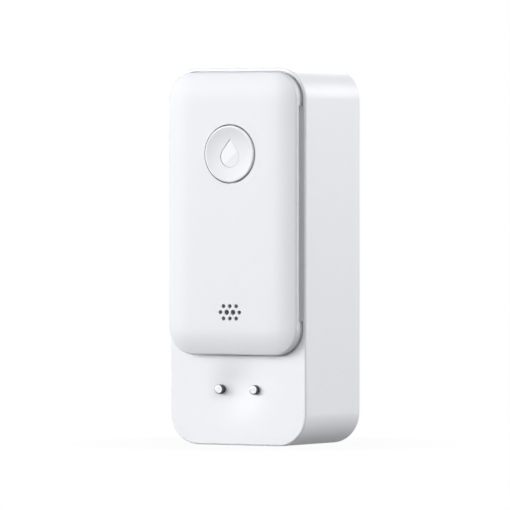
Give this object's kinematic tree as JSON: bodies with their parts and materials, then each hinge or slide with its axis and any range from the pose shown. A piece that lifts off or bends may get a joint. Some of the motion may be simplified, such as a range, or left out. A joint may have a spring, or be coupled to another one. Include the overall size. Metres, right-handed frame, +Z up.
{
  "type": "water leak detector",
  "caption": "Upright battery water leak detector: deep base with probe pins in a dish, and a pull-off alarm module with round button, drop window and sounder grille.",
  "frame": {"origin": "middle of the flat bottom face that the detector stands on", "axes": "+X to the right seen from the front, the front faces -Y, +Z up along the height"},
  "size_m": [0.042, 0.034, 0.1],
  "materials": {
    "shell_white": "fine satin moulded",
    "button_white": "fine satin moulded",
    "inner_plastic": "matt moulded",
    "lens_clear": "glossy translucent",
    "silicone": "matt translucent",
    "foam": "matt closed-cell foam",
    "probe_metal": "polished nickel plate",
    "spring_metal": "bright rolled strip",
    "screw_steel": "zinc plated",
    "board_green": "solder resist over glass fibre",
    "black_plastic": "matt moulded",
    "light_body": "clear epoxy in a white body",
    "sounder_brass": "bright rolled",
    "contact_gold": "gold plated",
    "shield_metal": "tinned sheet",
    "cell_sleeve": "plain printed sleeve",
    "membrane": "fine matt mesh"
  },
  "bodies": {
    "base": {"base_housing": "shell_white", "rear_plate": "shell_white", "rear_plate_seal": "silicone", "rear_plate_screws": "screw_steel", "rear_contact_studs": "probe_metal", "rear_stud_nuts": "screw_steel", "rear_stud_leads": "spring_metal", "probe_pins": "probe_metal", "probe_seals": "silicone", "probe_leads": "spring_metal", "battery_tray": "inner_plastic", "battery_cell_left": "cell_sleeve", "battery_cell_right": "cell_sleeve", "bridge_contact": "spring_metal", "positive_contact": "spring_metal", "negative_contact": "spring_metal", "dock_board": "board_green", "board_screws": "screw_steel", "dock_socket": "black_plastic", "socket_contacts": "contact_gold", "dock_clips": "spring_metal"},
    "alarm_module": {"module_cover": "shell_white", "module_back_shell": "inner_plastic", "plug_seal": "silicone", "module_board": "board_green", "module_screws": "screw_steel", "tact_switch": "black_plastic", "status_light": "light_body", "radio_shield": "shield_metal", "controller_chip": "black_plastic", "dock_header": "black_plastic", "dock_pins": "contact_gold", "button_seal": "silicone", "button_spacer": "inner_plastic", "sounder_case": "black_plastic", "sounder_disc": "sounder_brass", "sounder_gasket": "foam", "sound_membrane": "membrane"},
    "button": {"button_cap": "button_white", "drop_lens": "lens_clear"},
    "switch_stem": {"switch_plunger": "black_plastic"}
  },
  "joints": [
    {"name": "module_pull", "type": "slide", "parent": "base", "child": "alarm_module", "axis": [0, -1, 0], "range_m": [0, 0.02], "deforming": ["dock_clips"]},
    {"name": "button_press", "type": "slide", "parent": "alarm_module", "child": "button", "axis": [0, 1, 0], "range_m": [0, 0.0005], "stiffness_N_per_m": 600, "springref_m": -0.0015, "deforming": ["button_seal"]},
    {"name": "switch_press", "type": "slide", "parent": "alarm_module", "child": "switch_stem", "axis": [0, 1, 0], "range_m": [0, 0.0005]}
  ],
  "couplings": [
    {"joint": "switch_press", "follows": "button_press", "ratio": 1}
  ]
}
